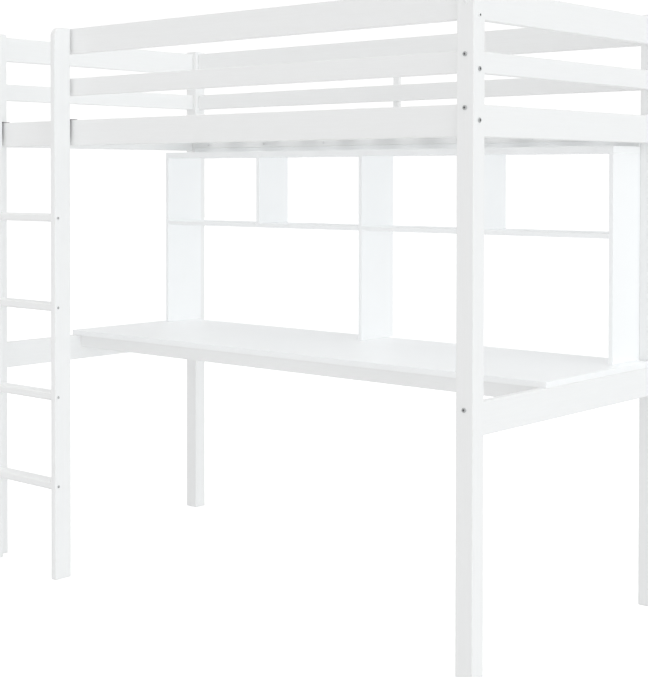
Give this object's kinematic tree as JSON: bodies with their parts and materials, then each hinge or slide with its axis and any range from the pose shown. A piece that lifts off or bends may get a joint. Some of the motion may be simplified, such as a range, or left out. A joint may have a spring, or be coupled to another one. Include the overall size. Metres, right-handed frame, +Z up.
{
  "type": "loft bed with desk",
  "caption": "Raised twin bed frame on square posts with guard rails, a full-length desk and shelf unit beneath, and a hook-on ladder.",
  "frame": {"origin": "centre of the whole footprint, ladder and bolt heads included, on the floor", "axes": "+X along the bed to the right as seen from the ladder side, +Y from the ladder side to the back, +Z up"},
  "size_m": [2.042, 1.131, 1.843],
  "materials": {
    "white_paint": "satin white paint",
    "white_board": "satin white lacquered board",
    "bolt_steel": "dark grey coated steel",
    "zinc_steel": "zinc plated",
    "dowel_wood": "bare beech"
  },
  "bodies": {
    "bed": {"post_front_left": "white_paint", "post_front_right": "white_paint", "post_back_left": "white_paint", "post_back_right": "white_paint", "side_rail_front": "white_paint", "side_rail_back": "white_paint", "end_rail_left": "white_paint", "end_rail_right": "white_paint", "guard_front_mid": "white_paint", "guard_front_top": "white_paint", "guard_back_mid": "white_paint", "guard_back_top": "white_paint", "guard_left_mid": "white_paint", "guard_left_top": "white_paint", "guard_right_mid": "white_paint", "guard_right_top": "white_paint", "guard_upright": "white_paint", "back_stile": "white_paint", "slat_ledger_front": "white_paint", "slat_ledger_back": "white_paint", "slat_1": "white_paint", "slat_2": "white_paint", "slat_3": "white_paint", "slat_4": "white_paint", "slat_5": "white_paint", "slat_6": "white_paint", "slat_7": "white_paint", "slat_8": "white_paint", "slat_9": "white_paint", "slat_10": "white_paint", "slat_11": "white_paint", "desk_rail_left": "white_paint", "desk_rail_right": "white_paint", "desk_apron_front": "white_paint", "desk_apron_back": "white_paint", "desk_top": "white_board", "shelf_panel_left": "white_board", "shelf_panel_mid": "white_board", "shelf_panel_right": "white_board", "shelf_board_left": "white_board", "shelf_board_right": "white_board", "shelf_divider_left": "white_board", "shelf_divider_right": "white_board", "shelf_top": "white_board", "shelf_cleat": "white_board", "frame_bolts": "bolt_steel", "thread_inserts": "zinc_steel", "wood_dowels": "dowel_wood", "wood_screws": "zinc_steel"},
    "ladder": {"ladder_stringer_left": "white_paint", "ladder_stringer_right": "white_paint", "ladder_tread_1": "white_paint", "ladder_tread_2": "white_paint", "ladder_tread_3": "white_paint", "ladder_tread_4": "white_paint", "ladder_hook_left": "bolt_steel", "ladder_hook_right": "bolt_steel", "tread_screws": "bolt_steel", "tread_dowels": "dowel_wood", "hook_screws": "bolt_steel"}
  },
  "joints": [
    {"name": "ladder_lift", "type": "slide", "parent": "bed", "child": "ladder", "axis": [0, 0, 1], "range_m": [0, 0.06]}
  ]
}
